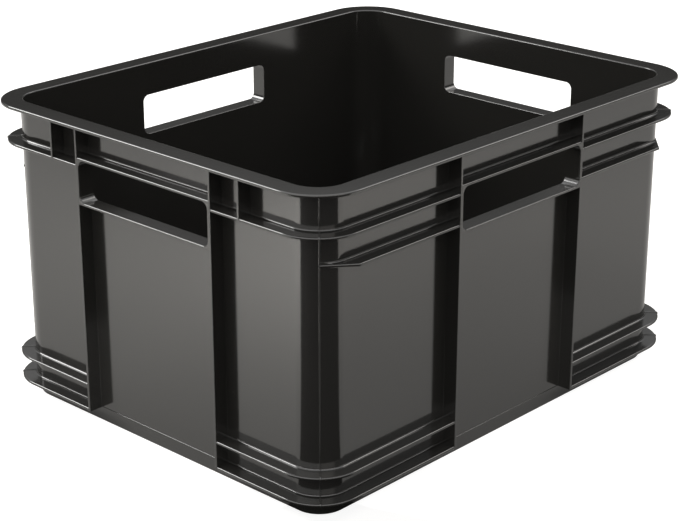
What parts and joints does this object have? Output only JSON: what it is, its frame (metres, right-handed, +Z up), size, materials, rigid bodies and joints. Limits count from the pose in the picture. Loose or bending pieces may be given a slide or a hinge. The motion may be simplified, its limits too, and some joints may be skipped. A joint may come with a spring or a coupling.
{
  "type": "storage box",
  "caption": "Open stacking crate of dark plastic with rounded corners, outside ribs and flanges, and a hand grip through each of its walls",
  "frame": {"origin": "on the ground below the middle of the crate, in the plane of the underside of its stacking foot", "axes": "+X along the long walls, +Y from the front long wall to the back long wall, +Z up"},
  "size_m": [0.43, 0.354, 0.24],
  "materials": {
    "crate_plastic": "semi-gloss moulded polypropylene, black"
  },
  "bodies": {
    "root": {"bottom_flange": "crate_plastic", "corner_wall_back_left": "crate_plastic", "corner_wall_back_right": "crate_plastic", "corner_wall_front_left": "crate_plastic", "corner_wall_front_right": "crate_plastic", "floor_panel": "crate_plastic", "grip_frame_back": "crate_plastic", "grip_frame_front": "crate_plastic", "grip_frame_left": "crate_plastic", "grip_frame_right": "crate_plastic", "grip_lintel_back": "crate_plastic", "grip_lintel_front": "crate_plastic", "grip_lintel_left": "crate_plastic", "grip_lintel_right": "crate_plastic", "long_wall_rib_back_left": "crate_plastic", "long_wall_rib_back_right": "crate_plastic", "long_wall_rib_front_left": "crate_plastic", "long_wall_rib_front_right": "crate_plastic", "lower_band_back_left": "crate_plastic", "lower_band_back_right": "crate_plastic", "lower_band_front_left": "crate_plastic", "lower_band_front_right": "crate_plastic", "mid_rib_back_left": "crate_plastic", "mid_rib_back_right": "crate_plastic", "mid_rib_front_left": "crate_plastic", "mid_rib_front_right": "crate_plastic", "rim_gusset_back_left": "crate_plastic", "rim_gusset_back_right": "crate_plastic", "rim_gusset_front_left": "crate_plastic", "rim_gusset_front_right": "crate_plastic", "short_wall_rib_back_left": "crate_plastic", "short_wall_rib_back_right": "crate_plastic", "short_wall_rib_front_left": "crate_plastic", "short_wall_rib_front_right": "crate_plastic", "side_panel_back": "crate_plastic", "side_panel_front": "crate_plastic", "side_panel_left": "crate_plastic", "side_panel_right": "crate_plastic", "stacking_foot": "crate_plastic", "top_rim": "crate_plastic", "upper_collar_back_left": "crate_plastic", "upper_collar_back_right": "crate_plastic", "upper_collar_front_left": "crate_plastic", "upper_collar_front_right": "crate_plastic"}
  },
  "joints": []
}
